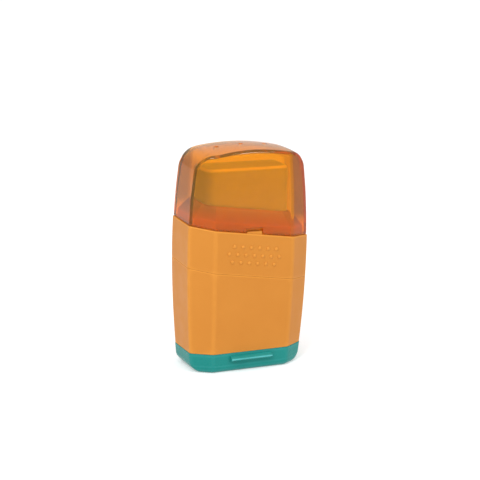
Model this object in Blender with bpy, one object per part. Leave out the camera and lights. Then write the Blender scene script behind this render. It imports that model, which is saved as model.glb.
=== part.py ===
"""Pocket pencil sharpener: shavings container, eraser under a clear cap, hinged base lid.

The body is a barrel-shaped octagon, 68 mm tall. From the bottom up it is a base lid, a shavings
container with the sharpener insert in its mouth, an eraser holder that plugs into the container,
and a clear cap over the eraser. The two upper seams slope down towards +X.
Driving dimensions are in millimetres; meshes are made in metres.
"""

import math

import bmesh
import bpy
from mathutils import Matrix, Vector

MM = 0.001
GAP = 0.3

# Outline: a rectangle with cut corners, widest part way up the body
HALF_WIDTH = 19.5
HALF_DEPTH = 11.18
FRONT_HALF = 12.69
SIDE_HALF = 6.7
SIDE_CORNER_RADIUS = 1.2
FRONT_CORNER_RADIUS = 2.6
LEAST_CORNER_RADIUS = 0.3
WIDEST_LEVEL = 36.8
TAPER_BELOW = 0.00133
TAPER_ABOVE = 0.0021
HEIGHT = 67.7

# Crown of the cap
CROWN_RADIUS = 68.0
SHOULDER_RADIUS = 6.5
SHOULDER_REACH = 17.95
CROWN_DEPTH_RADIUS = 75.0

# Air holes in a row along the crown
VENT_RADIUS = 0.75
VENT_PITCH = 7.8
VENT_MIDDLE = -0.5

# Seams: level at the middle and rise along X and Y
TOP_SEAM = (43.03, -0.14, 0.04)
MID_SEAM = (30.02, -0.15, 0.04)
BASE_SEAM = (6.09, 0.0, 0.0)

# Walls and insets of each outer skin
CAP_INSET = 0.22
CAP_WALL = 1.2
BODY_WALL = 1.5
LID_PROUD = 0.1
LID_WALL = 1.4
LID_FLOOR = 1.4
LID_CORNER_RADIUS = 4.4
LID_HALF_WIDTH = 18.35

# Eraser, its socket and the collar round it
ERASER_SIZE = (27.0, 11.4)
ERASER_BOTTOM = 41.3
ERASER_TOP = 61.5
ERASER_CORNER_RADIUS = 2.6
ERASER_EDGE_RADIUS = 1.4
SOCKET_WALL = 1.2
MOUTH_BORDER = 0.9
MOUTH_CHAMFER = (3.6, 2.4)
COLLAR_INSET = CAP_INSET + CAP_WALL + GAP
COLLAR_CORNER_RADIUS = 0.6
LEDGE_RISE = 2.5
MOUTH_RISE = 6.4
SPIGOT_INSET = BODY_WALL + GAP
SPIGOT_LENGTH = 5.0
SPIGOT_WALL = 1.1

# Thumb notch in the cap and the tongue that fills its foot
NOTCH_HALF = 2.7
NOTCH_HEIGHT = 1.6
TONGUE_TOP = TOP_SEAM[0] + 0.15

# Grip dots on the holder's front
DOT_PITCH = 2.74
DOT_ROW_PITCH = 2.35
DOT_RADIUS = 0.6
DOT_HEIGHT = 0.34
DOT_CENTRE = (-0.1, 36.05)
DOT_TILT = math.radians(-7.6)
DOT_ROWS = (6, 7, 6)

# Base lid hinge and finger tab
HINGE_Y = 10.2
HINGE_Z = 6.1
KNUCKLE_RADIUS = 1.2
KNUCKLE_CLEARANCE = 1.5
PIN_RADIUS = 0.45
PIN_BORE_RADIUS = 0.75
LID_KNUCKLE_HALF = 5.0
OUTER_KNUCKLE_END = 9.5
PIN_HALF = OUTER_KNUCKLE_END - 0.2
TAB_HALF = 6.7
TAB_ROOT = 9.6
TAB_REACH = HINGE_Y + KNUCKLE_RADIUS

# Catch strip on the lid that snaps into a slot in the insert: half width, Y and Z spans
CATCH_HALF = 6.0
CATCH_Y = (-8.1, -7.2)
CATCH_Z = (1.0, 6.9)

# Sharpener insert: a plate with two wedge blocks
PLATE_BOTTOM = 7.3
PLATE_TOP = 9.1
CONE_TIP_RADIUS = 0.9
CONE_ROOF = 1.0
BLOCK_CORNER_RADIUS = 3.4
BLOCK_REAR_WALL = 1.4
SHARPENERS = {
    "standard": {"x": -8.6, "hole": 4.1, "half": 6.5, "top": 25.0, "blade": (6.4, 16.5)},
    "jumbo": {"x": 6.9, "hole": 5.7, "half": 8.0, "top": 28.5, "blade": (7.4, 18.0)},
}
BLADE_THICKNESS = 0.6
BLADE_FOOT = 0.6
SCREW_RADIUS = 0.85
SCREW_HEAD_RADIUS = 1.7
SCREW_HEAD_HEIGHT = 1.0
DRIVE_REACH = 1.1
DRIVE_HALF_WIDTH = 0.25
DRIVE_DEPTH = 0.5


# ---------------------------------------------------------------- scene and materials

def clear_scene():
    for obj in list(bpy.data.objects):
        bpy.data.objects.remove(obj, do_unlink=True)


def new_collection(name):
    collection = bpy.data.collections.new(name)
    bpy.context.scene.collection.children.link(collection)
    return collection


def material(name, colour, roughness, metallic=0.0, transmission=0.0):
    mat = bpy.data.materials.new(name)
    mat.use_nodes = True
    shader = mat.node_tree.nodes["Principled BSDF"]
    shader.inputs["Base Color"].default_value = (*colour, 1.0)
    shader.inputs["Roughness"].default_value = roughness
    shader.inputs["Metallic"].default_value = metallic
    shader.inputs["Transmission Weight"].default_value = transmission
    return mat


def finish_object(obj, mat):
    obj.data.materials.clear()
    obj.data.materials.append(mat)
    obj.data.shade_smooth()
    obj.data.set_sharp_from_angle(angle=math.radians(30))


def mesh_object(name, bm, collection):
    """Turns a bmesh drawn in millimetres into an object."""
    bmesh.ops.scale(bm, vec=(MM, MM, MM), verts=bm.verts)
    bmesh.ops.recalc_face_normals(bm, faces=bm.faces)
    mesh = bpy.data.meshes.new(name)
    bm.to_mesh(mesh)
    bm.free()
    obj = bpy.data.objects.new(name, mesh)
    collection.objects.link(obj)
    if collection is CUTTERS:
        obj.hide_render = True
        obj.display_type = "WIRE"
    return obj


def combine(target, other, operation):
    modifier = target.modifiers.new(f"{operation.lower()}_{other.name}", "BOOLEAN")
    modifier.operation = operation
    modifier.solver = "EXACT"
    modifier.object = other


def cut(target, *others):
    for other in others:
        combine(target, other, "DIFFERENCE")


def keep(target, *others):
    for other in others:
        combine(target, other, "INTERSECT")


def join(target, *others):
    for other in others:
        combine(target, other, "UNION")


# ---------------------------------------------------------------- outline and solids

def taper(level):
    """How far the outline stands in from its widest, at a level."""
    rate = TAPER_BELOW if level < WIDEST_LEVEL else TAPER_ABOVE
    return rate * (level - WIDEST_LEVEL) ** 2


def mirrored(side, front):
    """Eight corners, counter-clockwise, from the two in the +X +Y quarter."""
    half = [side, front, Vector((-front.x, front.y)), Vector((-side.x, side.y))]
    return half + [Vector((p.x, -p.y)) for p in reversed(half)]


def rounded(corners, radii, steps=3):
    """A closed outline with each corner turned into an arc."""
    result = []
    for i, (corner, radius) in enumerate(zip(corners, radii)):
        before = (corners[i - 1] - corner).normalized()
        after = (corners[(i + 1) % len(corners)] - corner).normalized()
        half_angle = before.angle(after) / 2
        centre = corner + (before + after).normalized() * radius / math.sin(half_angle)
        arm = corner + before * radius / math.tan(half_angle) - centre
        sweep = math.pi - 2 * half_angle
        result += [centre + Matrix.Rotation(sweep * step / steps, 2) @ arm
                   for step in range(steps + 1)]
    return result


def octagon(inset, level, radius=None):
    """The body's outline at a level after its flats move in by the inset."""
    shift = inset + taper(level)
    cut_x = HALF_WIDTH - FRONT_HALF
    cut_y = HALF_DEPTH - SIDE_HALF
    length = math.hypot(cut_x, cut_y)
    normal_x, normal_y = cut_y / length, cut_x / length
    side = Vector((HALF_WIDTH - shift, SIDE_HALF - shift * (1 - normal_x) / normal_y))
    front = Vector((FRONT_HALF - shift * (1 - normal_y) / normal_x, HALF_DEPTH - shift))
    quarter = [radius or max(outer - inset, LEAST_CORNER_RADIUS)
               for outer in (SIDE_CORNER_RADIUS, FRONT_CORNER_RADIUS)]
    return rounded(mirrored(side, front), (quarter + quarter[::-1]) * 2)


def loft(name, rings, collection):
    """A closed solid through rings of equal length, each a list of (x, y, z)."""
    bm = bmesh.new()
    loops = [[bm.verts.new(point) for point in ring] for ring in rings]
    for low, high in zip(loops, loops[1:]):
        for i in range(len(low)):
            bm.faces.new((low[i - 1], low[i], high[i], high[i - 1]))
    bm.faces.new(loops[0])
    bm.faces.new(loops[-1])
    return mesh_object(name, bm, collection)


def barrel(name, inset, low, high, collection, step=4.0):
    count = max(1, round((high - low) / step))
    rings = []
    for i in range(count + 1):
        level = low + (high - low) * i / count
        rings.append([(p.x, p.y, level) for p in octagon(inset, level)])
    return loft(name, rings, collection)


def seam_height(seam, x, y):
    return seam[0] + seam[1] * x + seam[2] * y


def seam_block(name, seam, low, high):
    """A block whose bottom and top follow a seam, at heights above it."""
    bm = bmesh.new()
    bmesh.ops.create_cube(bm, size=60.0)
    for vert in bm.verts:
        rise = low if vert.co.z < 0 else high
        vert.co.z = seam_height(seam, vert.co.x, vert.co.y) + rise
    return mesh_object(name, bm, CUTTERS)


def box(name, low, high, collection=None):
    bm = bmesh.new()
    bmesh.ops.create_cube(bm, size=1.0)
    for vert in bm.verts:
        for axis in range(3):
            vert.co[axis] = low[axis] if vert.co[axis] < 0 else high[axis]
    return mesh_object(name, bm, collection or CUTTERS)


def rod(name, radius, start, end, tip_radius=None, collection=None, sides=32):
    """A cylinder or cone between two points."""
    bm = bmesh.new()
    start, end = Vector(start), Vector(end)
    axis = end - start
    tip = radius if tip_radius is None else tip_radius
    turn = axis.to_track_quat("Z", "Y").to_matrix().to_4x4()
    place = Matrix.Translation((start + end) / 2) @ turn
    bmesh.ops.create_cone(bm, cap_ends=True, segments=sides, radius1=radius, radius2=tip,
                          depth=axis.length, matrix=place)
    return mesh_object(name, bm, collection or CUTTERS)


def prism(name, outline, along, collection=None):
    """A flat outline of (x, y, z) points, extruded along a vector."""
    bm = bmesh.new()
    face = bm.faces.new([bm.verts.new(point) for point in outline])
    grown = bmesh.ops.extrude_face_region(bm, geom=[face])
    moved = [item for item in grown["geom"] if isinstance(item, bmesh.types.BMVert)]
    bmesh.ops.translate(bm, verts=moved, vec=along)
    return mesh_object(name, bm, collection or CUTTERS)


# ---------------------------------------------------------------- crown and lid corners

def crown_height(x, inset):
    """Height of the crown along its ridge: a flat arch that turns down over the shoulders."""
    arch = CROWN_RADIUS
    shoulder = SHOULDER_RADIUS
    centre_x = SHOULDER_REACH - shoulder
    centre_z = HEIGHT - arch + math.sqrt((arch - shoulder) ** 2 - centre_x ** 2)
    if abs(x) <= (arch - inset) * centre_x / (arch - shoulder):
        return HEIGHT - arch + math.sqrt((arch - inset) ** 2 - x ** 2)
    reach = min(abs(x) - centre_x, shoulder - inset)
    return centre_z + math.sqrt((shoulder - inset) ** 2 - reach ** 2)


def crown_block(name, inset):
    """Everything under the crown; its flanks flare so that the sides of the barrel are free."""
    columns, rows = 36, 12
    reach = SHOULDER_REACH - inset
    flare_x, flare_z, depth = 22.0, 25.0, 14.0
    bm = bmesh.new()
    bmesh.ops.create_grid(bm, x_segments=columns, y_segments=rows, size=1.0)
    for vert in bm.verts:
        u, v = vert.co.x, vert.co.y
        y = v * depth
        edge = abs(u) > 1 - 1e-6
        inner = min(abs(u) / (1 - 2 / columns), 1.0)
        x = math.copysign(flare_x if edge else reach * math.sin(inner * math.pi / 2), u)
        top = flare_z if edge else crown_height(x, inset) - y * y / (2 * CROWN_DEPTH_RADIUS)
        vert.co = (x, y, top)
    grown = bmesh.ops.extrude_face_region(bm, geom=bm.faces[:])
    for item in grown["geom"]:
        if isinstance(item, bmesh.types.BMVert):
            item.co.z = flare_z - 5.0
    return mesh_object(name, bm, CUTTERS)


def lid_corner_prism(name, inset, bottom):
    """The lid's front view: a flat foot with round corners, extruded from front to back."""
    radius = LID_CORNER_RADIUS - inset
    centre_x = LID_HALF_WIDTH - LID_CORNER_RADIUS
    above, front, depth, steps = 12.0, -15.0, 30.0, 8
    points = [(centre_x + radius, above)]
    for step in range(steps):
        angle = -math.pi / 2 * step / steps
        points.append((centre_x + radius * math.cos(angle),
                       LID_CORNER_RADIUS + radius * math.sin(angle)))
    points.append((centre_x, bottom))
    points += [(-x, z) for x, z in reversed(points)]
    return prism(name, [(x, front, z) for x, z in points], (0, depth, 0))


# ---------------------------------------------------------------- the pieces

def make_cap():
    cap = barrel("eraser_cap", CAP_INSET, 34.0, 71.0, PARTS)
    keep(cap, crown_block("cap_crown", 0.0))
    hollow = barrel("cap_hollow", CAP_INSET + CAP_WALL, 32.0, 71.0, CUTTERS)
    keep(hollow, crown_block("cap_hollow_crown", CAP_WALL))
    notch_top = TOP_SEAM[0] - TOP_SEAM[2] * HALF_DEPTH + NOTCH_HEIGHT
    notch = box("cap_notch", (-NOTCH_HALF, -15.0, 30.0), (NOTCH_HALF, -6.0, notch_top))
    vents = []
    for i in range(3):
        x = VENT_MIDDLE + (i - 1) * VENT_PITCH
        vents.append(rod(f"vent_{i}", VENT_RADIUS, (x, 0, 60), (x, 0, 75), sides=16))
    cut(cap, hollow, seam_block("under_top_seam", TOP_SEAM, -40.0, GAP / 2), notch, *vents)
    return cap


def make_eraser():
    bm = bmesh.new()
    bmesh.ops.create_cube(bm, size=1.0)
    for vert in bm.verts:
        vert.co.x *= ERASER_SIZE[0]
        vert.co.y *= ERASER_SIZE[1]
        vert.co.z = ERASER_BOTTOM if vert.co.z < 0 else ERASER_TOP
    upright = [e for e in bm.edges if abs(e.verts[0].co.z - e.verts[1].co.z) > 1]
    bmesh.ops.bevel(bm, geom=upright, offset=ERASER_CORNER_RADIUS, segments=5, affect="EDGES",
                    profile=0.5)
    rim = [e for e in bm.edges if min(v.co.z for v in e.verts) > ERASER_TOP - 0.01]
    bmesh.ops.bevel(bm, geom=rim, offset=ERASER_EDGE_RADIUS, segments=3, affect="EDGES",
                    profile=0.5)
    return mesh_object("eraser", bm, PARTS)


def mouth_ring():
    """A chamfered rectangle round the eraser, along the top seam."""
    half_x, half_y = (size / 2 + MOUTH_BORDER for size in ERASER_SIZE)
    corners = mirrored(Vector((half_x, half_y - MOUTH_CHAMFER[1])),
                       Vector((half_x - MOUTH_CHAMFER[0], half_y)))
    return [(p.x, p.y, seam_height(TOP_SEAM, p.x, p.y) + MOUTH_RISE)
            for p in rounded(corners, [0.4] * len(corners))]


def eraser_prism(name, grow, low, high):
    """The eraser's own plan, grown, as a prism."""
    x, y = (size / 2 + grow for size in ERASER_SIZE)
    corners = [Vector((x, -y)), Vector((x, y)), Vector((-x, y)), Vector((-x, -y))]
    ring = rounded(corners, [ERASER_CORNER_RADIUS + grow] * len(corners), steps=5)
    return loft(name, [[(p.x, p.y, z) for p in ring] for z in (low, high)], CUTTERS)


def make_collar():
    """Upright wall inside the cap, then a sloping roof up to the eraser's mouth."""
    rings = []
    for rise in (-2.0, LEDGE_RISE):
        outline = octagon(COLLAR_INSET, TOP_SEAM[0] + rise, COLLAR_CORNER_RADIUS)
        rings.append([(p.x, p.y, seam_height(TOP_SEAM, p.x, p.y) + rise) for p in outline])
    return loft("collar", rings + [mouth_ring()], CUTTERS)


def grip_dots():
    """Low domes in three staggered rows."""
    bm = bmesh.new()
    cosine, sine = math.cos(DOT_TILT), math.sin(DOT_TILT)
    for row, count in enumerate(DOT_ROWS):
        across = (1 - row) * DOT_ROW_PITCH
        for i in range(count):
            along = (i - (count - 1) / 2) * DOT_PITCH
            x = DOT_CENTRE[0] + along * cosine - across * sine
            z = DOT_CENTRE[1] + along * sine + across * cosine
            place = Matrix.Translation((x, -(HALF_DEPTH - taper(z)), z))
            squash = Matrix.Diagonal((DOT_RADIUS, DOT_HEIGHT, DOT_RADIUS, 1.0))
            bmesh.ops.create_uvsphere(bm, u_segments=10, v_segments=6, radius=1.0,
                                      matrix=place @ squash)
    return mesh_object("grip_dots", bm, CUTTERS)


def make_tongue():
    """The slip of the holder's wall that stands up into the cap's notch."""
    tongue = barrel("tongue", 0.0, 38.0, 48.0, CUTTERS)
    half = NOTCH_HALF - GAP
    keep(tongue, box("tongue_box", (-half, -15.0, 40.0),
                     (half, -HALF_DEPTH + BODY_WALL, TONGUE_TOP)))
    return tongue


def make_holder():
    holder = barrel("eraser_holder", 0.0, 24.0, 50.0, PARTS)
    keep(holder, seam_block("above_mid_seam", MID_SEAM, GAP / 2, 60.0),
         seam_block("below_top_seam", TOP_SEAM, -60.0, -GAP / 2))
    spigot = barrel("spigot", SPIGOT_INSET, 20.0, 36.0, CUTTERS)
    keep(spigot, seam_block("spigot_span", MID_SEAM, -SPIGOT_LENGTH, 4.0))
    join(holder, make_collar(), make_tongue(), spigot, grip_dots())
    pocket_floor = ERASER_BOTTOM - GAP
    chamber = barrel("holder_chamber", SPIGOT_INSET + SPIGOT_WALL, 15.0, 50.0, CUTTERS)
    keep(chamber, seam_block("chamber_span", TOP_SEAM, -60.0, LEDGE_RISE - 1.4))
    cut(chamber, eraser_prism("socket_core", GAP + SOCKET_WALL, pocket_floor - SOCKET_WALL, 60.0))
    cut(holder, chamber, eraser_prism("eraser_pocket", GAP, pocket_floor, 60.0))
    return holder


def make_container():
    container = barrel("shavings_container", 0.0, BASE_SEAM[0] + GAP / 2, 36.0, PARTS)
    keep(container, seam_block("below_mid_seam", MID_SEAM, -60.0, -GAP / 2))
    bore = barrel("container_bore", BODY_WALL, 2.0, 40.0, CUTTERS)
    cut(container, bore, hinge_clearance("container_notch", -LID_KNUCKLE_HALF - GAP,
                                         LID_KNUCKLE_HALF + GAP))
    for side in (-1, 1):
        join(container, knuckle(f"container_knuckle_{side + 1}", side * (LID_KNUCKLE_HALF + GAP),
                                side * OUTER_KNUCKLE_END))
    cut(container, pin_bore("container_pin_bore"))
    return container


def hinge_point(x):
    return (x, HINGE_Y, HINGE_Z)


def knuckle(name, x_start, x_end):
    return rod(name, KNUCKLE_RADIUS, hinge_point(x_start), hinge_point(x_end), sides=24)


def hinge_clearance(name, x_start, x_end):
    return rod(name, KNUCKLE_CLEARANCE, hinge_point(x_start), hinge_point(x_end), sides=24)


def pin_bore(name):
    return rod(name, PIN_BORE_RADIUS, hinge_point(-12), hinge_point(12), sides=16)


def make_lid():
    lid = barrel("base_lid", -LID_PROUD, 0.0, BASE_SEAM[0] - GAP / 2, PARTS, step=1.5)
    keep(lid, lid_corner_prism("lid_corners", 0.0, 0.0))
    tray = barrel("lid_tray", LID_WALL - LID_PROUD, LID_FLOOR, 10.0, CUTTERS)
    keep(tray, lid_corner_prism("lid_tray_corners", LID_WALL, LID_FLOOR))
    cut(lid, tray)
    for side in (-1, 1):
        cut(lid, hinge_clearance(f"lid_notch_{side + 1}", side * LID_KNUCKLE_HALF,
                                 side * (OUTER_KNUCKLE_END + GAP)))
    catch = box("lid_catch", *zip((-CATCH_HALF, CATCH_HALF), CATCH_Y, CATCH_Z))
    join(lid, make_tab(), catch, knuckle("lid_knuckle", -LID_KNUCKLE_HALF, LID_KNUCKLE_HALF))
    cut(lid, pin_bore("lid_pin_bore"))
    return lid


def make_tab():
    """A lip that slopes out from under the seam and is undercut for a fingernail."""
    section = [(TAB_ROOT, 5.4), (TAB_REACH - 0.1, 4.6), (TAB_REACH, 4.35),
               (TAB_ROOT + 1.0, 3.6), (TAB_ROOT, 3.2)]
    return prism("finger_tab", [(-TAB_HALF, -y, z) for y, z in section], (2 * TAB_HALF, 0, 0))


def make_hinge_pin():
    return rod("hinge_pin", PIN_RADIUS, hinge_point(-PIN_HALF), hinge_point(PIN_HALF),
               collection=PARTS, sides=16)


# ---------------------------------------------------------------- sharpener insert

def cone_top(spec):
    return spec["top"] - CONE_ROOF


def blade_frame(kind, spec):
    """An empty on the cone's front line: its Z runs up the blade, its -Y leaves the blade."""
    empty = bpy.data.objects.new(f"{kind}_blade_frame", None)
    PARTS.objects.link(empty)
    empty.location = Vector((spec["x"], -spec["hole"] + 0.35, PLATE_TOP)) * MM
    lean = math.atan2(spec["hole"] - CONE_TIP_RADIUS, cone_top(spec) - PLATE_TOP)
    empty.rotation_euler = (-lean, 0.0, 0.0)
    return empty


def wedge_block(kind, spec):
    """A block that stands on the plate, sloped on its front where the blade lies."""
    x, half = spec["x"], spec["half"]
    y = spec["hole"] + BLOCK_REAR_WALL
    corners = [Vector((x + half, -y)), Vector((x + half, y)),
               Vector((x - half, y)), Vector((x - half, -y))]
    ring = rounded(corners, [BLOCK_CORNER_RADIUS] * len(corners))
    levels = (PLATE_TOP - 0.5, spec["top"])
    block = loft(f"{kind}_block", [[(p.x, p.y, z) for p in ring] for z in levels], CUTTERS)
    slope = box(f"{kind}_slope", (-half - 2, -20.0, -3.0), (half + 2, 0.0, 40.0))
    slope.parent = spec["frame"]
    cut(block, slope)
    return block


def make_insert():
    insert = barrel("sharpener_insert", BODY_WALL + GAP, PLATE_BOTTOM, PLATE_TOP, PARTS)
    slot_half = CATCH_HALF + GAP
    cut(insert, box("catch_slot", (-slot_half, -12.0, 5.0),
                    (slot_half, CATCH_Y[1] + GAP, CATCH_Z[1] + 1.0)))
    for kind, spec in SHARPENERS.items():
        x = spec["x"]
        join(insert, wedge_block(kind, spec))
        throat = rod(f"{kind}_throat", spec["hole"], (x, 0, 4), (x, 0, PLATE_TOP))
        cone = rod(f"{kind}_cone", spec["hole"], (x, 0, PLATE_TOP - 0.01),
                   (x, 0, cone_top(spec)), tip_radius=CONE_TIP_RADIUS)
        cut(insert, throat, cone, screw_bore(f"{kind}_screw_bore", spec))
    return insert


def screw_place(spec, depth):
    """A point on the screw's axis in the blade's frame."""
    width, length = spec["blade"]
    return (-width * 0.66, depth, length / 2 + BLADE_FOOT)


def screw_bore(name, spec):
    bore = rod(name, SCREW_RADIUS + GAP, screw_place(spec, -6.0), screw_place(spec, 5.0), sides=16)
    bore.parent = spec["frame"]
    return bore


def make_blade(kind, spec):
    """A flat blade with a ground edge along the cone and a hole for its screw."""
    width, length = spec["blade"]
    section = [(-width, -GAP), (0.25, -GAP), (-0.55, -GAP - BLADE_THICKNESS),
               (-width, -GAP - BLADE_THICKNESS)]
    blade = prism(f"blade_{kind}", [(x, y, BLADE_FOOT) for x, y in section], (0, 0, length), PARTS)
    blade.parent = spec["frame"]
    cut(blade, screw_bore(f"{kind}_blade_bore", spec))
    return blade


def make_screw(kind, spec):
    """A cheese-head screw with a cross-shaped drive."""
    face = -2 * GAP - BLADE_THICKNESS
    head_top = face - SCREW_HEAD_HEIGHT
    screw = rod(f"screw_{kind}", SCREW_HEAD_RADIUS, screw_place(spec, head_top),
                screw_place(spec, face), collection=PARTS, sides=24)
    shank = rod(f"{kind}_shank", SCREW_RADIUS, screw_place(spec, face - 0.2),
                screw_place(spec, 4.0), sides=16)
    middle = Vector(screw_place(spec, head_top))
    drive = []
    for reach_x, reach_z in ((DRIVE_REACH, DRIVE_HALF_WIDTH), (DRIVE_HALF_WIDTH, DRIVE_REACH)):
        drive.append(box(f"{kind}_drive_{len(drive)}", middle - Vector((reach_x, 1.0, reach_z)),
                         middle + Vector((reach_x, DRIVE_DEPTH, reach_z))))
    for piece in (screw, shank, *drive):
        piece.parent = spec["frame"]
    join(screw, shank)
    cut(screw, *drive)
    return screw


# ---------------------------------------------------------------- build

def build():
    orange = material("orange_plastic", (0.84, 0.31, 0.05), 0.5)
    teal = material("teal_plastic", (0.03, 0.30, 0.27), 0.45)
    amber = material("amber_clear", (0.90, 0.42, 0.10), 0.08, transmission=1.0)
    rubber = material("white_rubber", (0.85, 0.84, 0.80), 0.8)
    steel = material("blade_steel", (0.62, 0.63, 0.65), 0.3, metallic=1.0)
    zinc = material("screw_steel", (0.75, 0.72, 0.62), 0.35, metallic=1.0)
    wire = material("pin_steel", (0.55, 0.55, 0.57), 0.35, metallic=1.0)
    insert = material("insert_plastic", (0.75, 0.28, 0.05), 0.5)
    for kind, spec in SHARPENERS.items():
        spec["frame"] = blade_frame(kind, spec)
    finish_object(make_cap(), amber)
    finish_object(make_eraser(), rubber)
    finish_object(make_holder(), orange)
    finish_object(make_container(), orange)
    finish_object(make_lid(), teal)
    finish_object(make_hinge_pin(), wire)
    finish_object(make_insert(), insert)
    for kind, spec in SHARPENERS.items():
        finish_object(make_blade(kind, spec), steel)
        finish_object(make_screw(kind, spec), zinc)


clear_scene()
PARTS = new_collection("pencil_sharpener")
CUTTERS = new_collection("cutters")
build()
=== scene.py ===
"""Looks of the pocket pencil sharpener: finely rounded shells, their moulded plastics, the blades,
the camera and the light. Sizes are in millimetres unless a name or comment says otherwise, and
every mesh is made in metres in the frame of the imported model."""

import math

import bmesh
import bpy
from mathutils import Matrix, Vector


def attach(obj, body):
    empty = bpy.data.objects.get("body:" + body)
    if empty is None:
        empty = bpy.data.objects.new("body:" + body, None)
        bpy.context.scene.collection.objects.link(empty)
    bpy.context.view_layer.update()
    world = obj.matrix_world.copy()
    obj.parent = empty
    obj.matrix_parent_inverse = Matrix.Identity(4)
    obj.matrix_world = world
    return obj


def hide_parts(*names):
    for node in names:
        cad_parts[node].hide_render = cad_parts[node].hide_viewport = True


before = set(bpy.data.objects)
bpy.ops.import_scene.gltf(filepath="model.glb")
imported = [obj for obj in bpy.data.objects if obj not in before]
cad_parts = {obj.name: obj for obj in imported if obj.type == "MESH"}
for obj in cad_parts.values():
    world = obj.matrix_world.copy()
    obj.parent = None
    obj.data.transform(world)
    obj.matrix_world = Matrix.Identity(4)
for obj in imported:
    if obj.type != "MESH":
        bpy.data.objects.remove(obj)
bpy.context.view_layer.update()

MM = 0.001

# Clearances: between fitted parts, and the narrower lines that show between the outer skins
GAP = 0.3
SEAM_LINE = 0.05
RIM_LINE = 0.2
SEAM_EDGE = 0.08
EDGE_RADIUS = 0.3

# Outline of the body: a rectangle with cut corners, widest part way up
HALF_WIDTH = 19.5
HALF_DEPTH = 11.18
FRONT_HALF = 12.69
SIDE_HALF = 6.7
SIDE_CORNER_RADIUS = 1.2
FRONT_CORNER_RADIUS = 2.6
LEAST_CORNER_RADIUS = 0.3
WIDEST_LEVEL = 36.8
TAPER_BELOW = 0.00133
TAPER_ABOVE = 0.0021
HEIGHT = 67.7

# Crown of the cap
CROWN_RADIUS = 68.0
SHOULDER_RADIUS = 6.5
SHOULDER_REACH = 17.95
CROWN_DEPTH_RADIUS = 75.0
CROWN_FLANK_SLOPE = 9.0
CROWN_LEAST_LEVEL = 50.0
OUTER_CROWN_EDGE = 1.5
INNER_CROWN_EDGE = 0.9

# Air holes in a row along the crown
VENT_RADIUS = 0.75
VENT_PITCH = 7.8
VENT_MIDDLE = -0.5
VENT_CUT = (60.0, 75.0)

# Seams: level at the middle and rise along X and Y
TOP_SEAM = (43.03, -0.14, 0.04)
MID_SEAM = (30.02, -0.15, 0.04)
BASE_SEAM = (6.09, 0.0, 0.0)

# Walls and insets of each outer skin
CAP_INSET = 0.22
CAP_WALL = 1.2
CAP_FOOT_ROUNDING = 0.14
BODY_WALL = 1.5
LID_PROUD = 0.1
LID_WALL = 1.4
LID_FLOOR = 1.4
LID_RIM_RADIUS = 0.25
LID_CORNER_RADIUS = 4.4
LID_HALF_WIDTH = 18.35
LID_FOOT_RADIUS = 1.6

# Eraser, its socket and the collar round it
ERASER_SIZE = (27.0, 11.4)
ERASER_BOTTOM = 41.3
ERASER_TOP = 61.5
ERASER_CORNER_RADIUS = 2.6
ERASER_TOP_RADIUS = 1.4
ERASER_FOOT_RADIUS = 0.5
SOCKET_WALL = 1.2
COLLAR_INSET = CAP_INSET + CAP_WALL + GAP
COLLAR_CORNER_RADIUS = 0.6
LEDGE_RISE = 2.5
LEDGE_WALL = 1.4
MOUTH_RISE = 6.4
MOUTH_BORDER = 0.95
MOUTH_CHAMFER = (3.6, 2.4)
MOUTH_CORNER_RADIUS = 0.5

# Small bevels of the collar, sideways and downwards, and how far the ledge's one stands up
MOUTH_BEVEL = (0.2, 0.15)
POCKET_BEVEL = (0.15, 0.2)
LEDGE_BEVEL = (0.12, 0.12)
LEDGE_LIP = 0.08

# Skirt of the holder that plugs into the container
SPIGOT_LENGTH = 5.0
SPIGOT_WALL = 1.1
SPIGOT_INSET = BODY_WALL + GAP

# Thumb notch in the cap and the tongue that fills its foot
NOTCH_HALF = 2.7
NOTCH_HEIGHT = 1.6
NOTCH_CUT_Y = (-15.0, -6.0)
TONGUE_FACE = -10.6
TONGUE_FOOT = 40.0
TONGUE_TOP = TOP_SEAM[0] + 0.15

# Grip dots on the holder's front
DOT_PITCH = 2.74
DOT_ROW_PITCH = 2.35
DOT_RADIUS = 0.6
DOT_HEIGHT = 0.34
DOT_CENTRE = (-0.1, 36.05)
DOT_TILT = math.radians(-7.6)
DOT_ROWS = (6, 7, 6)

# Base lid hinge, catch and finger tab
HINGE_Y = 10.2
HINGE_Z = 6.1
KNUCKLE_RADIUS = 1.2
KNUCKLE_EDGE = 0.15
KNUCKLE_CLEARANCE = 1.5
PIN_BORE_RADIUS = 0.75
PIN_BORE_END = 12.0
LID_KNUCKLE_HALF = 5.0
OUTER_KNUCKLE_END = 9.5
CATCH_HALF = 6.0
CATCH_Y = (-8.1, -7.2)
CATCH_Z = (1.0, 6.9)
TAB_HALF = 6.7
TAB_REACH = HINGE_Y + KNUCKLE_RADIUS
TAB_ROOT = HINGE_Y - 0.6
TAB_EDGE = 0.12

# How finely the shells are drawn
ARC_STEPS = 6
EDGE_STEPS = 4
ROUND_STEPS = 8
SHARP_ANGLE = math.radians(32.0)
CHAMFER_CELLS, FRONT_CELLS, SIDE_CELLS = 6, 22, 9
ERASER_CELLS = (12, 28)
SUPPORT_OFFSET = 0.45

# Where edges and what stands proud get a painted highlight. Each pair is where it starts and where
# it is whole: by sharpness, by the distance from the middle of the grip dots, and by how far it
# stands proud of the front
HIGHLIGHT_POINTINESS = (0.503, 0.513)
DOT_FIELD_X = (9.8, 10.5)
DOT_FIELD_Z = (4.4, 5.0)
PROUD = (0.05, 0.22)


# ---------------------------------------------------------------- meshes

def mesh_object(name, bm):
    """Turns a bmesh drawn in millimetres into an object."""
    bmesh.ops.scale(bm, vec=(MM, MM, MM), verts=bm.verts)
    bmesh.ops.recalc_face_normals(bm, faces=bm.faces)
    mesh = bpy.data.meshes.new(name)
    bm.to_mesh(mesh)
    bm.free()
    obj = bpy.data.objects.new(name, mesh)
    bpy.context.scene.collection.objects.link(obj)
    return obj


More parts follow.
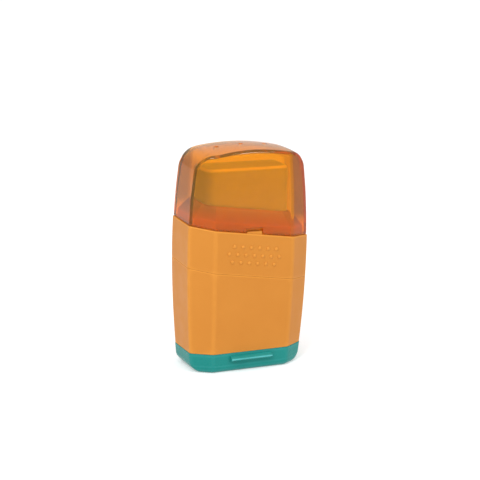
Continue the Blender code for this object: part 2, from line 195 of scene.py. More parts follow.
def boolean(target, cutter, operation):
    """Cuts or joins, applies it at once and removes the cutter."""
    modifier = target.modifiers.new("boolean", "BOOLEAN")
    modifier.operation = operation
    modifier.solver = "EXACT"
    modifier.object = cutter
    graph = bpy.context.evaluated_depsgraph_get()
    mesh = bpy.data.meshes.new_from_object(target.evaluated_get(graph))
    target.modifiers.clear()
    target.data = mesh
    bpy.data.objects.remove(cutter)


def cut(target, *cutters):
    for cutter in cutters:
        boolean(target, cutter, "DIFFERENCE")


def join(target, *others):
    for other in others:
        boolean(target, other, "UNION")


def smooth(obj):
    """Smooth shading with flat faces kept flat beside their rounded edges."""
    obj.data.shade_smooth()
    obj.data.set_sharp_from_angle(angle=SHARP_ANGLE)
    modifier = obj.modifiers.new("face_weighted", "WEIGHTED_NORMAL")
    modifier.keep_sharp = True


def loft(name, rings, closed=False, start_point=None, end_point=None):
    """A solid through rings of equal length. Its ends are fans to a point, or flat faces."""
    bm = bmesh.new()
    loops = [[bm.verts.new(point) for point in ring] for ring in rings]
    pairs = list(zip(loops, loops[1:]))
    if closed:
        pairs.append((loops[-1], loops[0]))
    for low, high in pairs:
        for i in range(len(low)):
            bm.faces.new((low[i - 1], low[i], high[i], high[i - 1]))
    ends = () if closed else ((loops[0], start_point), (loops[-1], end_point))
    for loop, point in ends:
        if point is None:
            bm.faces.new(loop)
            continue
        tip = bm.verts.new(point)
        for i in range(len(loop)):
            bm.faces.new((loop[i - 1], loop[i], tip))
    return mesh_object(name, bm)


def box(name, low, high):
    bm = bmesh.new()
    bmesh.ops.create_cube(bm, size=1.0)
    for vert in bm.verts:
        for axis in range(3):
            vert.co[axis] = low[axis] if vert.co[axis] < 0 else high[axis]
    return mesh_object(name, bm)


def rod(name, radius, start, end, sides=48, edge=0.0):
    """A cylinder between two points, with its rims rounded by the edge radius."""
    bm = bmesh.new()
    start, end = Vector(start), Vector(end)
    axis = end - start
    turn = axis.to_track_quat("Z", "Y").to_matrix().to_4x4()
    place = Matrix.Translation((start + end) / 2) @ turn
    bmesh.ops.create_cone(bm, cap_ends=True, segments=sides, radius1=radius, radius2=radius,
                          depth=axis.length, matrix=place)
    if edge:
        rims = [e for e in bm.edges if any(len(f.verts) > 4 for f in e.link_faces)]
        bmesh.ops.bevel(bm, geom=rims, offset=edge, segments=3, affect="EDGES", profile=0.5)
    return mesh_object(name, bm)


def quarter_turn(steps):
    """Sine and cosine at even steps through a right angle."""
    for step in range(steps + 1):
        angle = math.pi / 2 * step / steps
        yield math.sin(angle), math.cos(angle)


# ---------------------------------------------------------------- heights

def seam_height(seam, x, y):
    return seam[0] + seam[1] * x + seam[2] * y


def on_seam(seam, rise=0.0):
    """A height that follows a seam."""
    return lambda x, y: seam_height(seam, x, y) + rise


def at_level(level):
    return lambda x, y: level


def between(low, high, share):
    return lambda x, y: low(x, y) * (1 - share) + high(x, y) * share


def lifted(height, rise):
    return lambda x, y: height(x, y) + rise


# ---------------------------------------------------------------- outline of the body

def taper(level):
    """How far the outline stands in from its widest, at a level."""
    rate = TAPER_BELOW if level < WIDEST_LEVEL else TAPER_ABOVE
    return rate * (level - WIDEST_LEVEL) ** 2


def mirrored_corners(side, front):
    """Eight corners, counter-clockwise, from the two in the +X +Y quarter."""
    half = [side, front, Vector((-front.x, front.y)), Vector((-side.x, side.y))]
    return half + [Vector((p.x, -p.y)) for p in reversed(half)]


def body_corners(shift, reach=None):
    """The octagon after its flats move in; reach cuts its sides off further."""
    cut_x = HALF_WIDTH - FRONT_HALF
    cut_y = HALF_DEPTH - SIDE_HALF
    length = math.hypot(cut_x, cut_y)
    normal_x, normal_y = cut_y / length, cut_x / length
    side = Vector((HALF_WIDTH - shift, SIDE_HALF - shift * (1 - normal_x) / normal_y))
    front = Vector((FRONT_HALF - shift * (1 - normal_y) / normal_x, HALF_DEPTH - shift))
    if reach is not None and reach < side.x:
        side = Vector((reach, side.y + (side.x - reach) * cut_y / cut_x))
    return mirrored_corners(side, front)


def plan_points(corners, radii, cells=(CHAMFER_CELLS, FRONT_CELLS, CHAMFER_CELLS, SIDE_CELLS)):
    """Evenly indexed points round an outline: an arc at each corner, cells along each flat."""
    arcs = []
    count = len(corners)
    for i, corner in enumerate(corners):
        before = (corners[i - 1] - corner).normalized()
        after = (corners[(i + 1) % count] - corner).normalized()
        half_angle = before.angle(after) / 2
        radius = radii[i % len(radii)]
        centre = corner + (before + after).normalized() * radius / math.sin(half_angle)
        start = corner + before * radius / math.tan(half_angle) - centre
        sweep = math.pi - 2 * half_angle
        arcs.append([centre + Matrix.Rotation(sweep * step / ARC_STEPS, 2) @ start
                     for step in range(ARC_STEPS + 1)])
    result = []
    for i, arc in enumerate(arcs):
        after = arcs[(i + 1) % count][0]
        run = cells[i % len(cells)]
        result += arc
        result += [arc[-1].lerp(after, step / run) for step in range(1, run)]
    return result


def body_plan(inset, level, reach=None, radius=None):
    """The outline at a level; its corner radii shrink with the inset but not with the taper."""
    side, front = (radius or max(outer - inset, LEAST_CORNER_RADIUS)
                   for outer in (SIDE_CORNER_RADIUS, FRONT_CORNER_RADIUS))
    return plan_points(body_corners(inset + taper(level), reach), (side, front, front, side))


def raised(plan, height):
    return [Vector((p.x, p.y, height(p.x, p.y))) for p in plan]


def skin_ring(inset, height, reach_at=None, radius=None):
    """The body's outline at a height, which may vary along it; each point takes its own taper."""
    plans = {}

    def plan_at(level):
        key = round(level, 2)
        if key not in plans:
            plans[key] = body_plan(inset, key, reach_at(key) if reach_at else None, radius)
        return plans[key]

    result = []
    for i, guess in enumerate(plan_at(height(0, 0))):
        point = plan_at(height(guess.x, guess.y))[i]
        result.append(Vector((point.x, point.y, height(point.x, point.y))))
    return result


def wall_rings(inset, low, high, step=2.0, **options):
    """Rings up a wall between its ends, which are left out. The first and last lie close to the
    ends, so that the shading and the painted highlight of an edge stay near it."""
    span = abs(high(0, 0) - low(0, 0))
    count = max(1, round(span / step))
    near = SUPPORT_OFFSET / span
    shares = [near] + [i / count for i in range(1, count)] + [1 - near]
    return [skin_ring(inset, between(low, high, share), **options) for share in shares]


def edge_rings(inset, height, radius, inward, up, **options):
    """Rings of a rounded edge, from the wall onto the face. Inward is +1 where the material
    lies inside the wall, up is +1 where the face is on top."""
    result = []
    for sine, cosine in quarter_turn(EDGE_STEPS):
        shift = inward * radius * (1 - cosine)
        result.append(skin_ring(inset + shift, lifted(height, up * radius * (sine - 1)), **options))
    return result


# ---------------------------------------------------------------- cap

def crown_height(x, y, inset):
    """A flat arch that turns down over the shoulders, and falls a little to front and back."""
    arch = CROWN_RADIUS
    shoulder = SHOULDER_RADIUS
    centre_x = SHOULDER_REACH - shoulder
    centre_z = HEIGHT - arch + math.sqrt((arch - shoulder) ** 2 - centre_x ** 2)
    fall = y * y / (2 * CROWN_DEPTH_RADIUS)
    if abs(x) <= (arch - inset) * centre_x / (arch - shoulder):
        return HEIGHT - arch + math.sqrt((arch - inset) ** 2 - x ** 2) - fall
    past = abs(x) - centre_x
    if past < shoulder - inset:
        return centre_z + math.sqrt((shoulder - inset) ** 2 - past ** 2) - fall
    return centre_z - CROWN_FLANK_SLOPE * (past - shoulder + inset) - fall


def cap_wall_points(inset):
    """Points on the cap's side as a function of a line's index and a level."""
    plans = {}

    def side_point(index, level):
        key = round(level, 3)
        if key not in plans:
            plans[key] = body_plan(inset, key)
        point = plans[key][index]
        return Vector((point.x, point.y, level))

    return side_point


def crown_edge(side_point, crown_inset, index):
    """Where one line up the side of the cap meets the crown, found by halving."""
    low, high = CROWN_LEAST_LEVEL, HEIGHT
    for _ in range(14):
        level = (low + high) / 2
        point = side_point(index, level)
        if crown_height(point.x, point.y, crown_inset) > level:
            low = level
        else:
            high = level
    return side_point(index, low)


def cap_line(side_point, crown_inset, index, foot_level, edge):
    """One line from the cap's foot up its side, round the crown's edge and in over the crown."""
    side_steps, fillet_steps, crown_steps = 14, 7, 18
    # The slopes at the corner are felt this far from it, and rings crowd towards the crown's edge
    probe = 0.5
    crowding = 1.25

    def crown_point(xy):
        return Vector((xy.x, xy.y, crown_height(xy.x, xy.y, crown_inset)))

    corner = crown_edge(side_point, crown_inset, index)
    below = side_point(index, corner.z - probe)
    inward = -corner.to_2d().normalized()
    across = (crown_point(corner.to_2d() + inward * probe) - corner).normalized()
    up = (corner - below).normalized()
    tangent = edge * math.tan(up.angle(across) / 2)
    start = side_point(index, corner.z - tangent * up.z)
    end = crown_point(corner.to_2d() + across.to_2d() * tangent)
    line = [side_point(index, foot_level + (start.z - foot_level) * step / side_steps)
            for step in range(side_steps)]
    for step in range(fillet_steps + 1):
        t = step / fillet_steps
        line.append(start * (1 - t) ** 2 + corner * 2 * t * (1 - t) + end * t * t)
    for step in range(1, crown_steps):
        line.append(crown_point(end.to_2d() * (1 - (step / crown_steps) ** crowding)))
    return line


def cap_skin(inset, crown_inset, bottom, edge):
    """Rings of one skin of the cap, from its foot to near the middle of its crown."""
    side_point = cap_wall_points(inset)
    lines = []
    for index, point in enumerate(body_plan(inset, bottom(0, 0))):
        foot_level = bottom(point.x, point.y)
        lines.append(cap_line(side_point, crown_inset, index, foot_level, edge))
    return [list(ring) for ring in zip(*lines)]


def make_cap():
    foot = on_seam(TOP_SEAM, RIM_LINE / 2)
    outer = cap_skin(CAP_INSET, 0.0, foot, OUTER_CROWN_EDGE)
    inner = cap_skin(CAP_INSET + CAP_WALL, CAP_WALL, foot, INNER_CROWN_EDGE)
    rounding = CAP_FOOT_ROUNDING / CAP_WALL
    rim = [[a.lerp(b, share) for a, b in zip(outer[0], inner[0])]
           for share in (rounding, 1 - rounding)]
    for skin in (outer, inner):
        skin[0] = [point + Vector((0, 0, CAP_FOOT_ROUNDING)) for point in skin[0]]
    cap = loft("cap_shell", outer[::-1] + rim + inner, start_point=(0, 0, HEIGHT),
               end_point=(0, 0, HEIGHT - CAP_WALL))
    low, high = VENT_CUT
    for i in (-1, 0, 1):
        x = VENT_MIDDLE + i * VENT_PITCH
        cut(cap, rod("vent", VENT_RADIUS, (x, 0, low), (x, 0, high), sides=32))
    notch_top = seam_height(TOP_SEAM, 0, -HALF_DEPTH) + NOTCH_HEIGHT
    front, back = NOTCH_CUT_Y
    cut(cap, box("notch", (-NOTCH_HALF, front, 0), (NOTCH_HALF, back, notch_top)))
    smooth(cap)
    return cap


# ---------------------------------------------------------------- eraser

def eraser_ring(inset, level):
    half_x, half_y = (side / 2 - inset for side in ERASER_SIZE)
    corners = [Vector((half_x, -half_y)), Vector((half_x, half_y)),
               Vector((-half_x, half_y)), Vector((-half_x, -half_y))]
    plan = plan_points(corners, [ERASER_CORNER_RADIUS - inset], ERASER_CELLS)
    return raised(plan, at_level(level))


def make_eraser():
    foot, top = ERASER_FOOT_RADIUS, ERASER_TOP_RADIUS
    wall_start = ERASER_BOTTOM + foot
    wall_end = ERASER_TOP - top
    wall_steps = 16
    rings = [eraser_ring(foot * (1 - sine), wall_start - foot * cosine)
             for sine, cosine in quarter_turn(ROUND_STEPS)]
    for step in range(1, wall_steps):
        share = step / wall_steps
        rings.append(eraser_ring(0, wall_start + (wall_end - wall_start) * share))
    rings += [eraser_ring(top * (1 - cosine), wall_end + top * sine)
              for sine, cosine in quarter_turn(ROUND_STEPS)]
    eraser = loft("eraser_block", rings)
    smooth(eraser)
    return eraser


# ---------------------------------------------------------------- holder

def mouth_plan(grow):
    """A chamfered rectangle round the eraser, indexed as the body's outline."""
    half_x, half_y = (side / 2 + grow for side in ERASER_SIZE)
    chamfer_x, chamfer_y = MOUTH_CHAMFER
    corners = mirrored_corners(Vector((half_x, half_y - chamfer_y)),
                               Vector((half_x - chamfer_x, half_y)))
    return plan_points(corners, [MOUTH_CORNER_RADIUS])


def pocket_plan(grow):
    """The eraser's own plan, grown, indexed as the body's outline."""
    inner_x, inner_y = (side / 2 + grow - ERASER_CORNER_RADIUS for side in ERASER_SIZE)
    result = []
    for p in mouth_plan(grow):
        past = Vector((max(abs(p.x) - inner_x, 0), max(abs(p.y) - inner_y, 0)))
        if past.x > 0 and past.y > 0:
            past = past.normalized() * ERASER_CORNER_RADIUS
        x = min(abs(p.x), inner_x) + past.x
        y = min(abs(p.y), inner_y) + past.y
        result.append(Vector((math.copysign(x, p.x), math.copysign(y, p.y))))
    return result


def collar_rings():
    """From the socket's mouth over the chamfered rim, down the slope and the collar's side."""
    shelf = on_seam(TOP_SEAM, -RIM_LINE / 2)
    mouth = on_seam(TOP_SEAM, MOUTH_RISE)
    ledge = on_seam(TOP_SEAM, LEDGE_RISE)

    def side_ring(inset, height):
        return skin_ring(COLLAR_INSET + inset, height, radius=COLLAR_CORNER_RADIUS)

    mouth_edge = raised(mouth_plan(MOUTH_BORDER), lifted(mouth, -MOUTH_BEVEL[1]))
    ledge_edge = side_ring(0.0, ledge)
    slope_steps = 6
    slope = [[a.lerp(b, step / slope_steps) for a, b in zip(mouth_edge, ledge_edge)]
             for step in range(slope_steps)]
    return ([raised(pocket_plan(GAP), lifted(mouth, -POCKET_BEVEL[1])),
             raised(pocket_plan(GAP + POCKET_BEVEL[0]), mouth),
             raised(mouth_plan(MOUTH_BORDER - MOUTH_BEVEL[0]), mouth)]
            + slope
            + [side_ring(LEDGE_BEVEL[0], lifted(ledge, LEDGE_LIP)),
               side_ring(0.0, lifted(ledge, -LEDGE_BEVEL[1]))]
            + wall_rings(COLLAR_INSET, ledge, shelf, step=1.0, radius=COLLAR_CORNER_RADIUS)
            + [side_ring(0.0, shelf)])


def band_rings():
    """Out over the shelf that the cap stands on and down the holder's outer skin."""
    shelf = on_seam(TOP_SEAM, -RIM_LINE / 2)
    foot = on_seam(MID_SEAM, SEAM_LINE / 2)
    return (edge_rings(0.0, shelf, EDGE_RADIUS, 1, 1)[::-1]
            + wall_rings(0.0, shelf, foot, step=1.0)
            + edge_rings(0.0, foot, SEAM_EDGE, 1, -1))


def spigot_rings():
    """In under the outer skin, down and up the skirt, and round the underside of the socket."""
    foot = on_seam(MID_SEAM, SEAM_LINE / 2)
    spigot_foot = on_seam(MID_SEAM, -SPIGOT_LENGTH)
    ceiling = on_seam(TOP_SEAM, LEDGE_RISE - LEDGE_WALL)
    inner_inset = SPIGOT_INSET + SPIGOT_WALL
    socket_floor = at_level(ERASER_BOTTOM - GAP - SOCKET_WALL)
    return ([skin_ring(SPIGOT_INSET, foot)]
            + wall_rings(SPIGOT_INSET, foot, spigot_foot, step=1.5)
            + edge_rings(SPIGOT_INSET, spigot_foot, EDGE_RADIUS, 1, -1)
            + edge_rings(inner_inset, spigot_foot, EDGE_RADIUS, -1, -1)[::-1]
            + wall_rings(inner_inset, spigot_foot, ceiling)
            + [skin_ring(inner_inset, ceiling),
               raised(pocket_plan(GAP + SOCKET_WALL), ceiling),
               raised(pocket_plan(GAP + SOCKET_WALL), socket_floor)])


def grip_dots():
    """Low domes in three staggered rows."""
    bm = bmesh.new()
    cosine, sine = math.cos(DOT_TILT), math.sin(DOT_TILT)
    squash = Matrix.Diagonal((DOT_RADIUS, DOT_HEIGHT, DOT_RADIUS, 1.0))
    for row, count in enumerate(DOT_ROWS):
        across = (1 - row) * DOT_ROW_PITCH
        for i in range(count):
            along = (i - (count - 1) / 2) * DOT_PITCH
            x = DOT_CENTRE[0] + along * cosine - across * sine
            z = DOT_CENTRE[1] + along * sine + across * cosine
            place = Matrix.Translation((x, -(HALF_DEPTH - taper(z)), z))
            bmesh.ops.create_uvsphere(bm, u_segments=20, v_segments=12, radius=1.0,
                                      matrix=place @ squash)
    return mesh_object("grip_dots", bm)


def make_holder():
    pocket_floor = raised(pocket_plan(GAP), at_level(ERASER_BOTTOM - GAP))
    holder = loft("holder_shell", [pocket_floor] + collar_rings() + band_rings() + spigot_rings())
    tongue_half = NOTCH_HALF - GAP
    tongue = box("tongue", (-tongue_half, TONGUE_FACE, TONGUE_FOOT),
                 (tongue_half, -HALF_DEPTH + BODY_WALL, TONGUE_TOP))
    join(holder, tongue, grip_dots())
    smooth(holder)
    return holder


# ---------------------------------------------------------------- hinge of the base lid

def hinge_rod(name, radius, start, end, edge=0.0):
    """A cylinder along the hinge's axis."""
    return rod(name, radius, (start, HINGE_Y, HINGE_Z), (end, HINGE_Y, HINGE_Z), edge=edge)


def pin_bore():
    return hinge_rod("bore", PIN_BORE_RADIUS, -PIN_BORE_END, PIN_BORE_END)


# ---------------------------------------------------------------- container

def make_container():
    top = on_seam(MID_SEAM, -SEAM_LINE / 2)
    bottom = at_level(BASE_SEAM[0] + SEAM_LINE / 2)
    rings = (edge_rings(0.0, bottom, SEAM_EDGE, 1, -1)[::-1]
             + wall_rings(0.0, bottom, top)
             + edge_rings(0.0, top, SEAM_EDGE, 1, 1)
             + edge_rings(BODY_WALL, top, EDGE_RADIUS, -1, 1)[::-1]
             + wall_rings(BODY_WALL, top, bottom)
             + edge_rings(BODY_WALL, bottom, EDGE_RADIUS, -1, -1))
    container = loft("container_shell", rings, closed=True)
    inner_end = LID_KNUCKLE_HALF + GAP
    cut(container, hinge_rod("notch", KNUCKLE_CLEARANCE, -inner_end, inner_end))
    for side in (-1, 1):
        join(container, hinge_rod("knuckle", KNUCKLE_RADIUS, side * inner_end,
                                  side * OUTER_KNUCKLE_END, KNUCKLE_EDGE))
    cut(container, pin_bore())
    smooth(container)
    return container


# ---------------------------------------------------------------- base lid

def lid_reach(level, inset=0.0):
    """Half the lid's width at a level: its lower corners are round in front view."""
    radius = LID_CORNER_RADIUS - inset
    drop = min(max(LID_CORNER_RADIUS - level, 0.0), radius)
    return LID_HALF_WIDTH - LID_CORNER_RADIUS + math.sqrt(radius ** 2 - drop ** 2)


def tray_reach(level):
    return lid_reach(level, LID_WALL)


def lid_outside():
    """From the flat underside round the foot's edge and up to the rim."""
    rim = at_level(BASE_SEAM[0] - SEAM_LINE / 2)
    foot = LID_FOOT_RADIUS
    rings = [skin_ring(foot * (1 - sine) - LID_PROUD, at_level(foot * (1 - cosine)),
                       reach_at=lid_reach) for sine, cosine in quarter_turn(ROUND_STEPS)]
    return (rings + wall_rings(-LID_PROUD, at_level(foot), rim, step=0.3, reach_at=lid_reach)
            + edge_rings(-LID_PROUD, rim, SEAM_EDGE, 1, 1, reach_at=lid_reach))


def lid_inside():
    """Over the rim and down the inside to the tray's floor."""
    rim = at_level(BASE_SEAM[0] - SEAM_LINE / 2)
    floor = at_level(LID_FLOOR)
    inset = LID_WALL - LID_PROUD
    return (edge_rings(inset, rim, LID_RIM_RADIUS, -1, 1, reach_at=tray_reach)[::-1]
            + wall_rings(inset, rim, floor, step=0.3, reach_at=tray_reach)
            + [skin_ring(inset, floor, reach_at=tray_reach)])


def finger_tab():
    """A lip that slopes out from under the seam and is undercut for a fingernail. Its outline
    runs down the lip's section, as Y and Z."""
    outline = [(-TAB_ROOT, 5.35), (-TAB_REACH + 0.3, 4.75), (-TAB_REACH, 4.5),
               (-TAB_REACH, 4.2), (-TAB_ROOT - 1.0, 3.6), (-TAB_ROOT, 3.2)]
    bm = bmesh.new()
    side = bm.faces.new([bm.verts.new((-TAB_HALF, y, z)) for y, z in outline])
    grown = bmesh.ops.extrude_face_region(bm, geom=[side])
    moved = [item for item in grown["geom"] if isinstance(item, bmesh.types.BMVert)]
    bmesh.ops.translate(bm, verts=moved, vec=(2 * TAB_HALF, 0, 0))
    sharp = [e for e in bm.edges if max(v.co.y for v in e.verts) < -TAB_ROOT - 0.1]
    bmesh.ops.bevel(bm, geom=sharp, offset=TAB_EDGE, segments=3, affect="EDGES", profile=0.5)
    return mesh_object("finger_tab", bm)


def make_lid():
    lid = loft("lid_shell", lid_outside() + lid_inside())
    for side in (-1, 1):
        cut(lid, hinge_rod("notch", KNUCKLE_CLEARANCE, side * LID_KNUCKLE_HALF,
                           side * (OUTER_KNUCKLE_END + GAP)))
    catch = box("catch", (-CATCH_HALF, CATCH_Y[0], CATCH_Z[0]), (CATCH_HALF, CATCH_Y[1], CATCH_Z[1]))
    knuckle = hinge_rod("knuckle", KNUCKLE_RADIUS, -LID_KNUCKLE_HALF, LID_KNUCKLE_HALF, KNUCKLE_EDGE)
    join(lid, finger_tab(), catch, knuckle)
    cut(lid, pin_bore())
    smooth(lid)
    return lid


# ---------------------------------------------------------------- materials

class Shading:
    """A new material's node tree, with short forms of the nodes that the materials share."""

    def __init__(self, name):
        self.material = bpy.data.materials.new(name)
        self.material.use_nodes = True
        self.nodes = self.material.node_tree.nodes
        self.links = self.material.node_tree.links
        self.shader = self.nodes["Principled BSDF"]

    def fill(self, socket, value):
        """Links a socket to another, or gives it a colour, a vector or a number."""
        if isinstance(value, bpy.types.NodeSocket):
            self.links.new(value, socket)
        elif isinstance(value, tuple):
            socket.default_value = (*value, 1.0)[:len(socket.default_value)]
        else:
            socket.default_value = value

    def surface(self, **values):
        """Sets sockets of the shader, named with underscores for spaces."""
        for name, value in values.items():
            self.fill(self.shader.inputs[name.replace("_", " ")], value)

    def coordinates(self, kind):
        return self.nodes.new("ShaderNodeTexCoord").outputs[kind]

    def split(self, vector):
        """The X, Y and Z of a vector."""
        node = self.nodes.new("ShaderNodeSeparateXYZ")
        self.links.new(vector, node.inputs["Vector"])
        return node.outputs

    def noise(self, scale, detail, roughness=0.5, stretch=(1.0, 1.0, 1.0)):
        """Noise in the piece's own coordinates; the scale counts waves per metre."""
        mapping = self.nodes.new("ShaderNodeMapping")
        mapping.inputs["Scale"].default_value = stretch
        self.links.new(self.coordinates("Object"), mapping.inputs["Vector"])
        texture = self.nodes.new("ShaderNodeTexNoise")
        texture.inputs["Scale"].default_value = scale
        texture.inputs["Detail"].default_value = detail
        texture.inputs["Roughness"].default_value = roughness
        self.links.new(mapping.outputs["Vector"], texture.inputs["Vector"])
        return texture.outputs["Fac"]

    def ramp(self, value, low, high, start=0.3, end=0.7):
        """Low up to the start, high from the end on, and even between them."""
        node = self.nodes.new("ShaderNodeMapRange")
        for socket, number in zip(("From Min", "From Max", "To Min", "To Max"),
                                  (start, end, low, high)):
            node.inputs[socket].default_value = number
        self.links.new(value, node.inputs["Value"])
        return node.outputs["Result"]

    def mix(self, share, first, second):
        """From the first colour to the second."""
        node = self.nodes.new("ShaderNodeMix")
        node.data_type = "RGBA"
        self.links.new(share, node.inputs["Factor"])
        self.fill(node.inputs["A"], first)
        self.fill(node.inputs["B"], second)
        return node.outputs["Result"]

    def calculate(self, operation, *values):
        node = self.nodes.new("ShaderNodeMath")
        node.operation = operation
        for socket, value in zip(node.inputs, values):
            self.fill(socket, value)
        return node.outputs["Value"]

    def relief(self, height, strength, distance):
        """Bumps on the shader's normal; the distance is in metres."""
        node = self.nodes.new("ShaderNodeBump")
        node.inputs["Strength"].default_value = strength
        node.inputs["Distance"].default_value = distance
        self.links.new(height, node.inputs["Height"])
        self.links.new(node.outputs["Normal"], self.shader.inputs["Normal"])


def scaled(millimetres):
    """Numbers in metres, as the object coordinates have them."""
    return [number * MM for number in millimetres]


def painted_edge_highlights(shading, strength):
    """A painted highlight: up to the strength along outward edges, one on what stands proud of the
    body, such as the grip dots and the finger tab, and nought on the flats."""
    pointiness = shading.nodes.new("ShaderNodeNewGeometry").outputs["Pointiness"]
    edges = shading.ramp(pointiness, 0.0, strength, *HIGHLIGHT_POINTINESS)
    place = shading.split(shading.coordinates("Object"))
    across = shading.calculate("ABSOLUTE", place["X"])
    above = shading.calculate("SUBTRACT", place["Z"], DOT_CENTRE[1] * MM)
    above = shading.calculate("ABSOLUTE", above)
    beside_dots = shading.calculate("MAXIMUM", shading.ramp(across, 0.0, 1.0, *scaled(DOT_FIELD_X)),
                                    shading.ramp(above, 0.0, 1.0, *scaled(DOT_FIELD_Z)))
    edges = shading.calculate("MULTIPLY", edges, beside_dots)
    forward = shading.calculate("MULTIPLY", place["Y"], -1.0)
    proud = shading.ramp(forward, 0.0, 1.0, *scaled(HALF_DEPTH + rise for rise in PROUD))
    broken = shading.ramp(shading.noise(500.0, 4.0, 0.6), 0.6, 1.0)
    return shading.calculate("MULTIPLY", shading.calculate("MAXIMUM", edges, proud), broken)


def moulded_plastic(name, dark, light, edge, roughness, gloss=0.5, highlight_strength=1.0):
    """Satin moulded plastic: a fine spark-eroded grain, soft flow marks, rubbed patches, and a
    painted highlight, in the paler edge colour, along edges and on what stands proud."""
    shading = Shading(name)
    body = shading.mix(shading.ramp(shading.noise(90.0, 3.0), 0.0, 1.0), dark, light)
    patches = shading.noise(240.0, 4.0, 0.6)
    # Base colour: the grain's tones, with the edge colour painted on as a highlight along edges,
    # grip dots and the finger tab
    shading.surface(Specular_IOR_Level=gloss,
                    Base_Color=shading.mix(painted_edge_highlights(shading, highlight_strength), body, edge),
                    Roughness=shading.ramp(patches, roughness - 0.06, roughness + 0.06))
    shading.relief(shading.noise(3500.0, 2.0), 0.12, 0.00004)
    return shading.material


def amber_plastic():
    """Clear tinted plastic. Part of the tint is in the volume, where it deepens along the way
    through, and part is painted shade on the surface: redder by the collar, deepening the collar
    seen through it, and above the collar browner on both sides, where the view runs slanting through
    the wall, and brownest on the right, away from the key lamp."""
    shading = Shading("amber_plastic")
    facing = shading.split(shading.coordinates("Normal"))
    place = shading.split(shading.coordinates("Object"))
    sides = shading.calculate("ABSOLUTE", facing["X"])
    sides = shading.ramp(sides, 0.0, 1.0, start=0.6, end=0.9)
    right = shading.ramp(facing["X"], 0.0, 1.0, start=0.35, end=0.5)
    slope = shading.calculate("MULTIPLY", place["X"], TOP_SEAM[1])
    rise = shading.calculate("SUBTRACT", place["Z"], slope)
    upper = shading.ramp(rise, 0.0, 1.0, *scaled(TOP_SEAM[0] + level
                                                 for level in (LEDGE_RISE, MOUTH_RISE)))
    # Painted shade: redder by the collar, browner on both sides above it and brownest on the right
    tint = shading.mix(upper, (1.0, 0.51, 0.06), (0.965, 0.635, 0.08))
    tint = shading.mix(shading.calculate("MULTIPLY", sides, upper), tint, (0.72, 0.44, 0.06))
    tint = shading.mix(shading.calculate("MULTIPLY", right, upper), tint, (0.5, 0.3, 0.045))
    smears = shading.noise(320.0, 4.0, 0.6)
    shading.surface(Transmission_Weight=0.92, IOR=1.2, Coat_Weight=0.2, Coat_Roughness=0.05,
                    Base_Color=tint, Roughness=shading.ramp(smears, 0.01, 0.05))
    shading.relief(shading.noise(60.0, 2.0), 0.08, 0.0004)
    depth = shading.nodes.new("ShaderNodeVolumeAbsorption")
    depth.inputs["Color"].default_value = (0.955, 0.752, 0.0, 1.0)
    depth.inputs["Density"].default_value = 750.0
    shading.links.new(depth.outputs["Volume"], shading.nodes["Material Output"].inputs["Volume"])
    return shading.material


def eraser_rubber():
    """Dull white vinyl with fine pores, a dusty surface, and a smoother top edge with a painted
    highlight.
    """
    shading = Shading("eraser_rubber")
    dust = shading.noise(420.0, 5.0, 0.65)
    body = shading.mix(shading.ramp(dust, 0.0, 1.0), (0.60, 0.65, 0.58), (0.67, 0.71, 0.64))
    height = shading.split(shading.coordinates("Object"))["Z"]
    # Painted highlight: a band along the top edge is mixed towards white
    over = shading.ramp(height, 0.0, 1.0, *scaled(ERASER_TOP - drop for drop in (1.0, 0.6)))
    under = shading.ramp(height, 1.0, 0.0, *scaled(ERASER_TOP - drop for drop in (0.2, 0.05)))
    edge = shading.calculate("MULTIPLY", over, under)
    polish = shading.calculate("MULTIPLY", edge, -0.35)
    shading.surface(Base_Color=shading.mix(edge, body, (1.0, 1.0, 1.0)), Subsurface_Weight=0.15,
                    Subsurface_Radius=(0.0012, 0.001, 0.0008),
                    Roughness=shading.calculate("ADD", shading.ramp(dust, 0.62, 0.8), polish))
    shading.relief(shading.noise(2600.0, 3.0), 0.25, 0.00006)
    return shading.material


def metal(name, dark, light, roughness, grain_axis):
    """Ground or drawn metal: fine lines along one axis."""
    shading = Shading(name)
    stretch = [0.04 if axis == grain_axis else 1.0 for axis in range(3)]
    lines = shading.noise(2500.0, 3.0, stretch=stretch)
    shading.surface(Metallic=1.0,
                    Base_Color=shading.mix(shading.ramp(lines, 0.0, 1.0), dark, light),
                    Roughness=shading.ramp(lines, roughness - 0.06, roughness + 0.08))
    shading.relief(lines, 0.15, 0.00003)
    return shading.material


# ---------------------------------------------------------------- stage, light, camera

FLOOR_HALF = 6000.0

# The point that the camera and the lamps aim at, in metres
STAGE_MIDDLE = Vector((0.0, 0.0, 0.035))


def make_stage():
    """A pale floor that glows a little, so that the object's shadow stays faint."""
    bm = bmesh.new()
    bmesh.ops.create_grid(bm, x_segments=1, y_segments=1, size=FLOOR_HALF)
    floor = mesh_object("floor", bm)
    shading = Shading("paper")
    tone = shading.mix(shading.noise(30.0, 3.0), (0.7, 0.7, 0.7), (0.73, 0.73, 0.73))
    shading.surface(Base_Color=tone, Roughness=0.85, Specular_IOR_Level=0.2,
                    Emission_Color=(1.0, 1.0, 1.0), Emission_Strength=0.33)
    floor.data.materials.append(shading.material)


def area_light(name, place, side, power):
    """A square lamp aimed at the object. Place and side are in metres, power in watts."""
    data = bpy.data.lights.new(name, "AREA")
    data.shape = "SQUARE"
    data.size = side
    data.energy = power
    light = bpy.data.objects.new(name, data)
    light.location = place
    light.rotation_euler = (STAGE_MIDDLE - Vector(place)).to_track_quat("-Z", "Y").to_euler()
    bpy.context.scene.collection.objects.link(light)


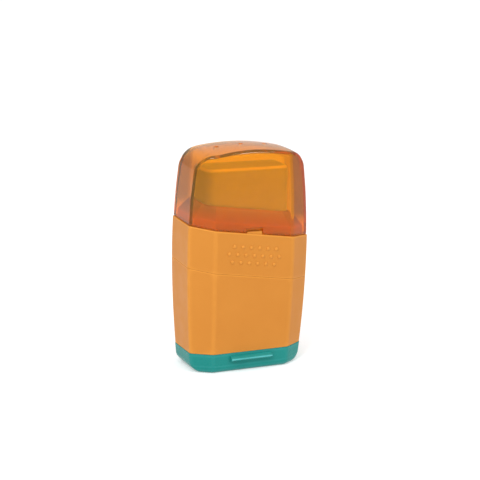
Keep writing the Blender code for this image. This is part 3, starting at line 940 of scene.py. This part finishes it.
def make_lights():
    area_light("key", place=(-0.48, -0.5, 0.6), side=0.25, power=3.3)
    area_light("edge_light", place=(0.36, -0.59, 0.615), side=0.12, power=1.3)
    sun = bpy.data.lights.new("sun", "SUN")
    sun.energy = 0.9
    sun.angle = math.radians(60)
    lamp = bpy.data.objects.new("sun", sun)
    lamp.rotation_euler = (math.radians(20), math.radians(-12), 0)
    bpy.context.scene.collection.objects.link(lamp)
    world = bpy.data.worlds.new("studio")
    world.use_nodes = True
    background = world.node_tree.nodes["Background"]
    background.inputs["Color"].default_value = (1.0, 1.0, 1.0, 1.0)
    background.inputs["Strength"].default_value = 0.72
    bpy.context.scene.world = world
    bpy.context.scene.view_settings.view_transform = "Standard"


def make_camera():
    """The photograph's view: a long lens from the front left, a little above and tilted."""
    azimuth, elevation, roll = math.radians(24.3), math.radians(14.1), math.radians(1.3)
    aim_up, aim_right = math.radians(0.393), math.radians(0.02)
    distance = 0.45
    back = Vector((-math.sin(azimuth) * math.cos(elevation),
                   -math.cos(azimuth) * math.cos(elevation), math.sin(elevation)))
    data = bpy.data.cameras.new("camera")
    data.lens = 111.5
    data.clip_start, data.clip_end = 0.01, 20.0
    camera = bpy.data.objects.new("camera", data)
    right = (-back).cross(Vector((0, 0, 1))).normalized()
    up = back.cross(right)
    basis = Matrix((right, up, back)).transposed()
    turn = Matrix.Rotation(roll, 3, "Z") @ Matrix.Rotation(aim_up, 3, "X")
    turn = turn @ Matrix.Rotation(-aim_right, 3, "Y")
    place = STAGE_MIDDLE + back * distance
    camera.matrix_world = Matrix.LocRotScale(place, basis @ turn, None)
    bpy.context.scene.collection.objects.link(camera)
    bpy.context.scene.camera = camera


# ---------------------------------------------------------------- the object

def dress(piece, body, node, material):
    piece.data.materials.clear()
    piece.data.materials.append(material)
    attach(piece, body)
    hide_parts(node)


def dress_node(node, material):
    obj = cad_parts[node]
    obj.data.materials.clear()
    obj.data.materials.append(material)


def make_shells():
    """The five outer pieces, which replace their CAD nodes."""
    # The third colour of each plastic is a painted highlight for its edges and for what stands proud
    orange = moulded_plastic("orange_satin", (0.505, 0.188, 0.024), (0.525, 0.2, 0.027),
                             (0.6, 0.238, 0.034), 0.42, gloss=0.16)
    teal = moulded_plastic("teal_satin", (0.009, 0.198, 0.178), (0.012, 0.215, 0.192),
                           (0.1, 0.44, 0.45), 0.3, gloss=0.12, highlight_strength=0.1)
    dress(make_cap(), "cap", "eraser_cap", amber_plastic())
    dress(make_eraser(), "holder", "eraser", eraser_rubber())
    dress(make_holder(), "holder", "eraser_holder", orange)
    dress(make_container(), "container", "shavings_container", orange)
    dress(make_lid(), "lid", "base_lid", teal)


def dress_inner_parts():
    """The parts inside, whose CAD meshes are kept and given better materials."""
    # The third colour is a painted highlight for the insert's edges
    insert = moulded_plastic("insert_satin", (0.6, 0.22, 0.035), (0.63, 0.235, 0.04),
                             (0.7, 0.3, 0.06), 0.45)
    steel = metal("blade_ground", (0.55, 0.56, 0.58), (0.72, 0.73, 0.75), 0.28, grain_axis=2)
    zinc = metal("screw_zinc", (0.66, 0.64, 0.58), (0.76, 0.74, 0.68), 0.3, grain_axis=1)
    wire = metal("pin_wire", (0.5, 0.5, 0.52), (0.62, 0.62, 0.64), 0.3, grain_axis=0)
    dress_node("sharpener_insert", insert)
    for kind in ("standard", "jumbo"):
        dress_node(f"blade_{kind}", steel)
        dress_node(f"screw_{kind}", zinc)
    dress_node("hinge_pin", wire)


make_camera()
make_lights()
make_stage()
make_shells()
dress_inner_parts()
